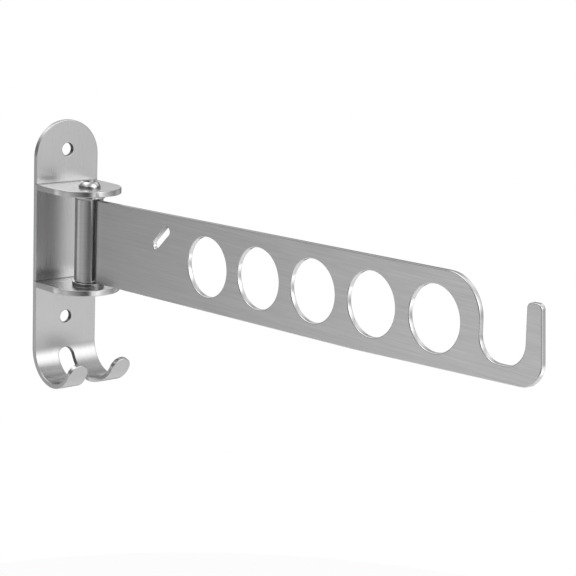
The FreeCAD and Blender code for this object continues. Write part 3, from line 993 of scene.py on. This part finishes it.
@dataclass(frozen=True)
class SteelFinish:
    """One finish of stainless steel, which is a neutral grey."""

    name: str
    slot: str
    grey: float
    roughness: float
    edge_roughness: float
    # How much brighter the rounded edges are: a painted highlight
    edge_painted_highlight: float = 1.03
    line_width: float = 0.45
    line_length: float = 26.0
    line_contrast: float = 0.22
    line_depth: float = 0.004
    mark_size: float = 28.0
    mark_contrast: float = 0.06
    anisotropy: float = 0.55
    blur_turn: float = 0.25
    # How the painted-light mask changes the grey: painted shade above 0, a painted highlight below 0
    painted_wall_shade: float = 0.2
    joint_shade_heights: tuple[float, ...] = ()

    def build(self, effects: Effects) -> Material:
        """Make the material, which uses the shared node groups."""
        material = bpy.data.materials.new(self.name)
        material.use_nodes = True
        bench = Bench(material.node_tree)
        sheet = bench.scale(bench.add("UVMap", uv_map=GRAIN_MAP).outputs["UV"], 1 / MM)
        place = bench.scale(bench.add("TexCoord").outputs["Object"], 1 / MM)
        cut, painted_light = (
            bench.add("Attribute", attribute_name=mask, attribute_type="GEOMETRY").outputs["Fac"]
            for mask in (CUT_MASK, PAINTED_LIGHT_MASK))
        grain = bench.add("Group", {
            "Sheet": sheet, "Line Width": self.line_width, "Line Length": self.line_length,
            "Contrast": self.line_contrast}, node_tree=effects.grain).outputs
        marks = bench.add("Group", {
            "Place": place, "Size": self.mark_size, "Contrast": self.mark_contrast},
            node_tree=effects.marks).outputs
        edge = bench.add("Group", {
            "Cut": cut, "Face Roughness": self.roughness, "Edge Roughness": self.edge_roughness,
            "Edge Shade": self.edge_painted_highlight}, node_tree=effects.edge).outputs
        # Painted shade and painted highlights from the mask
        wall = bench.calc("MULTIPLY_ADD", painted_light, self.painted_wall_shade - 1.0, 1.0)
        joint_shades = [bench.add("Group", {"Place": place, "Height": height}, node_tree=effects.joint_shade)
                  for height in self.joint_shade_heights]
        shade = bench.times(grain["Shade"], marks["Shade"], edge["Shade"], wall,
                            *(joint_shade.outputs["Shade"] for joint_shade in joint_shades))
        tangent = bench.add("Tangent", direction_type="UV_MAP", uv_map=GRAIN_MAP)
        bump = bench.add("Bump", {
            "Strength": 1.0, "Distance": self.line_depth * MM, "Height": grain["Height"]})
        steel = bench.add("BsdfPrincipled", {
            "Base Color": bench.scale((self.grey,) * 3, shade), "Metallic": 1.0,
            "Roughness": bench.times(edge["Roughness"], bench.calc("SUBTRACT", 2.0, grain["Shade"])),
            "Anisotropic": self.anisotropy, "Anisotropic Rotation": self.blur_turn,
            "Tangent": tangent.outputs["Tangent"], "Normal": bump.outputs["Normal"]})
        bench.add("OutputMaterial", {"Surface": steel.outputs["BSDF"]})
        return material


# The plate's joint heights paint a thin line of shade where each ear meets it
PLATE = SteelFinish("plate_brushed", "plate_steel", grey=0.66, roughness=0.27, edge_roughness=0.24,
                    line_contrast=0.12, line_depth=0.002, joint_shade_heights=(26.5, -23.1))
EARS = SteelFinish("ear_brushed", "ear_steel", grey=0.66, roughness=0.27, edge_roughness=0.22)
BAR = SteelFinish("arm_brushed", "arm_steel", grey=0.62, roughness=0.30, edge_roughness=0.20,
                  line_contrast=0.45)
UPPER_WASHER = SteelFinish("upper_washer_satin", "washer_steel", grey=0.70, roughness=0.22,
                           edge_roughness=0.2, line_width=0.2, line_contrast=0.1, mark_contrast=0.02,
                           painted_wall_shade=1.0)
# The lower washer is a copy of the upper one, a little lighter, with painted shade on its outer wall
SHADED_LOWER_WASHER = replace(UPPER_WASHER, name="lower_washer_satin_shaded", grey=0.72, painted_wall_shade=0.35)
SLEEVE = SteelFinish("sleeve_bright", "sleeve_steel", grey=0.74, roughness=0.2, edge_roughness=0.2,
                     line_width=0.2, line_contrast=0.08, mark_contrast=0.02)
# The screw's wall shade darkens its painted-shade recess and foot band
SCREW = SteelFinish("screw_polished", "bolt_steel", grey=0.78, roughness=0.12, edge_roughness=0.12,
                    line_width=0.12, line_contrast=0.05, mark_contrast=0.02, anisotropy=0.2,
                    painted_wall_shade=0.3)


# Light and camera


@dataclass(frozen=True)
class SkyPatch:
    """A soft light in the room round the hook, which has faded to half at an angle of its spread."""

    direction: tuple[float, float, float]
    spread: float
    level: float


# The room's lights, ring by ring: the ring's height and spread, then each light's x, y and level
LIGHT_RINGS = (
    (-0.21, 11, ((0.17, 0.96, 0.06), (-0.75, 0.63, 0.74), (-0.92, 0.33, 0.34), (-0.98, 0.00, 0.62),
                 (-0.92, -0.33, 0.39), (-0.75, -0.63, 0.22), (0.17, -0.96, 1.13))),
    (0.24, 14, ((0.51, 0.83, 0.72), (0.10, 0.97, 0.37), (-0.69, 0.68, 0.09), (0.33, -0.91, 1.91))),
    (0.62, 17, ((0.79, 0.00, 0.96), (0.66, 0.43, 0.20), (0.33, 0.72, 0.06), (-0.11, 0.78, 0.97),
                (-0.76, -0.22, 0.54), (-0.11, -0.78, 0.70), (0.33, -0.72, 1.70))),
    (0.93, 20, ((-0.30, 0.22, 2.39),)),
    (-0.64, 22, ((-0.54, 0.54, 0.52), (0.54, -0.54, 1.69))),
    (0.26, 8, ((0.65, -0.71, 0.55),)),
    (0.40, 8, ((0.65, -0.64, 0.22),)),
    (0.52, 8, ((0.65, -0.55, 0.35),)),
    (-0.21, 11, ((0.98, 0.00, 0.45), (0.92, 0.34, 0.35), (-0.17, 0.96, 0.40))),
    (-0.21, 6, ((-0.09, -0.97, 0.90),)),
)


@dataclass(frozen=True)
class Viewpoint:
    """Where the camera stands, in millimetres, and how it is turned."""

    place: tuple[float, float, float] = (-484.84, -713.80, 160.49)
    azimuth: float = -41.88
    elevation: float = 12.194
    roll: float = 2.356
    lens: float = 106.408
    clip: tuple[float, float] = (0.01, 20.0)


@dataclass
class Studio:
    """The pale room with its soft lights, the floor and the camera."""

    background_share: float = 0.06
    patches: tuple[SkyPatch, ...] = tuple(
        SkyPatch((x, y, height), spread, level)
        for height, spread, lights in LIGHT_RINGS for x, y, level in lights)
    floor_white: float = 0.9
    floor_grey: float = 0.92
    floor_place: tuple[float, float, float] = (0, -150, -300)
    floor_radius: float = 450.0
    view: Viewpoint = Viewpoint()

    def _white_share(self, bench: Bench, direct: float) -> NodeSocket:
        """How much of the plain white background a ray sees.

        Args:
            bench: The bench on the world or on a material.
            direct: The share for rays straight from the camera and rays through glass.

        Returns:
            The share, from 0 to 1.
        """
        seen = bench.add("LightPath").outputs
        straight = bench.calc("MAXIMUM", seen["Is Camera Ray"], seen["Is Transmission Ray"])
        mirrored = bench.times(seen["Is Glossy Ray"], self.background_share)
        return bench.calc("MAXIMUM", bench.times(straight, direct), mirrored)

    def build_room(self) -> None:
        """Make the world: white to the camera, and soft light and dark areas to the steel."""
        world = bpy.data.worlds.new("room")
        bpy.context.scene.world = world
        world.use_nodes = True
        bench = Bench(world.node_tree)
        where = bench.add("TexCoord").outputs["Generated"]
        total: object = 0.0
        for patch in self.patches:
            towards = bench.add("VectorMath", {0: where, 1: Vector(patch.direction).normalized()},
                                operation="DOT_PRODUCT")
            sharpness = math.log(2) / (1 - math.cos(math.radians(patch.spread)))
            away = bench.times(bench.calc("SUBTRACT", towards.outputs["Value"], 1.0), sharpness)
            total = bench.calc("MULTIPLY_ADD", bench.calc("EXPONENT", away), patch.level, total)
        room = bench.add("Background", {"Color": WHITE, "Strength": total})
        white = bench.add("Background", {"Color": WHITE})
        mixed = bench.add("MixShader", {
            0: self._white_share(bench, 1.0), 1: room.outputs[0], 2: white.outputs[0]})
        bench.add("OutputWorld", {"Surface": mixed.outputs[0]})

    def build_floor(self) -> None:
        """Make the pale floor, which shows from above only and keeps the hook's faint shadow."""
        mesh, radius = bmesh.new(), self.floor_radius * MM
        bmesh.ops.create_circle(mesh, cap_ends=True, segments=CIRCLE_POINTS, radius=radius)
        data = bpy.data.meshes.new("floor")
        mesh.to_mesh(data)
        mesh.free()
        floor = link_object("floor", data)
        floor.location = Vector(self.floor_place) * MM
        material = bpy.data.materials.new("pale_floor")
        material.use_nodes = True
        bench = Bench(material.node_tree)
        matt = bench.add("BsdfDiffuse", {"Color": (*(self.floor_grey,) * 3, 1)})
        white = bench.add("Emission", {"Color": WHITE})
        lit = bench.add("MixShader", {
            0: self._white_share(bench, self.floor_white), 1: matt.outputs[0], 2: white.outputs[0]})
        shown = bench.add("MixShader", {
            0: bench.add("NewGeometry").outputs["Backfacing"], 1: lit.outputs[0],
            2: bench.add("BsdfTransparent").outputs[0]})
        bench.add("OutputMaterial", {"Surface": shown.outputs[0]})
        data.materials.append(material)

    def build_camera(self) -> None:
        """Set up the camera."""
        azimuth, elevation, roll = (
            math.radians(angle) for angle in (self.view.azimuth, self.view.elevation, self.view.roll))
        level = math.cos(elevation)
        back = Vector((math.sin(azimuth) * level, -math.cos(azimuth) * level, math.sin(elevation)))
        right = Vector((math.cos(azimuth), math.sin(azimuth), 0))
        up = back.cross(right)
        across = right * math.cos(roll) + up * math.sin(roll)
        upward = up * math.cos(roll) - right * math.sin(roll)
        data = bpy.data.cameras.new("camera")
        data.lens = self.view.lens
        data.clip_start, data.clip_end = self.view.clip
        camera = link_object("camera", data)
        turn = Matrix((across, upward, back)).transposed().to_4x4()
        camera.matrix_world = Matrix.Translation(Vector(self.view.place) * MM) @ turn
        bpy.context.scene.camera = camera

    def build(self) -> None:
        """Make the room, the floor and the camera."""
        self.build_room()
        self.build_floor()
        self.build_camera()
        bpy.context.scene.view_settings.view_transform = "Standard"


@dataclass
class WallHook:
    """The whole hook: every piece, its finish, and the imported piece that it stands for."""

    effects: Effects
    steel: dict[str, Material] = field(default_factory=dict)

    def add(self, piece: Object, node: str, part: Part, finish: SteelFinish) -> None:
        """Give a piece its finish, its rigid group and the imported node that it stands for."""
        piece.data.materials.append(self.steel[finish.name])
        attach(piece, part.value)
        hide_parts(node)
        low, high = piece.bound_box[0], piece.bound_box[6]
        LOG.info("%s stands for %s, %.1f x %.1f x %.1f mm, %d faces", piece.name, node,
                 *((high[axis] - low[axis]) / MM for axis in range(3)), len(piece.data.polygons))

    def build(self) -> None:
        """Make and dress every piece."""
        for finish in (PLATE, EARS, BAR, UPPER_WASHER, SHADED_LOWER_WASHER, SLEEVE, SCREW):
            self.steel[finish.name] = finish.build(self.effects)
        pivot = Pivot()
        self.add(BackPlate().build(), "back_plate", Part.BRACKET, PLATE)
        for ear in (Ear("upper_ear_sheet", "upper_ear", pivot.upper_bore, pivot.half_gap),
                    Ear("lower_ear_sheet", "lower_ear", pivot.lower_bore, -pivot.ear_top)):
            self.add(ear.build(), ear.node, Part.BRACKET, EARS)
        self.add(pivot.build_sleeve(), "pivot_sleeve", Part.BRACKET, SLEEVE)
        upper_seat = pivot.half_gap - pivot.washer_thickness
        for node, base, finish in (("upper_washer", upper_seat, UPPER_WASHER),
                                   ("lower_washer", -pivot.half_gap, SHADED_LOWER_WASHER)):
            self.add(pivot.build_washer(f"{node}_ring", base), node, Part.BRACKET, finish)
        self.add(pivot.build_screw(), "pivot_bolt", Part.BRACKET, SCREW)
        self.add(SwingArm().build(), "arm", Part.ARM, BAR)


def main() -> None:
    """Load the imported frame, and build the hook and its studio."""
    logging.basicConfig(level=logging.INFO, format="%(name)s: %(message)s")
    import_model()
    WallHook(Effects()).build()
    Studio().build()
    bpy.context.view_layer.update()


if __name__ == "__main__":
    main()
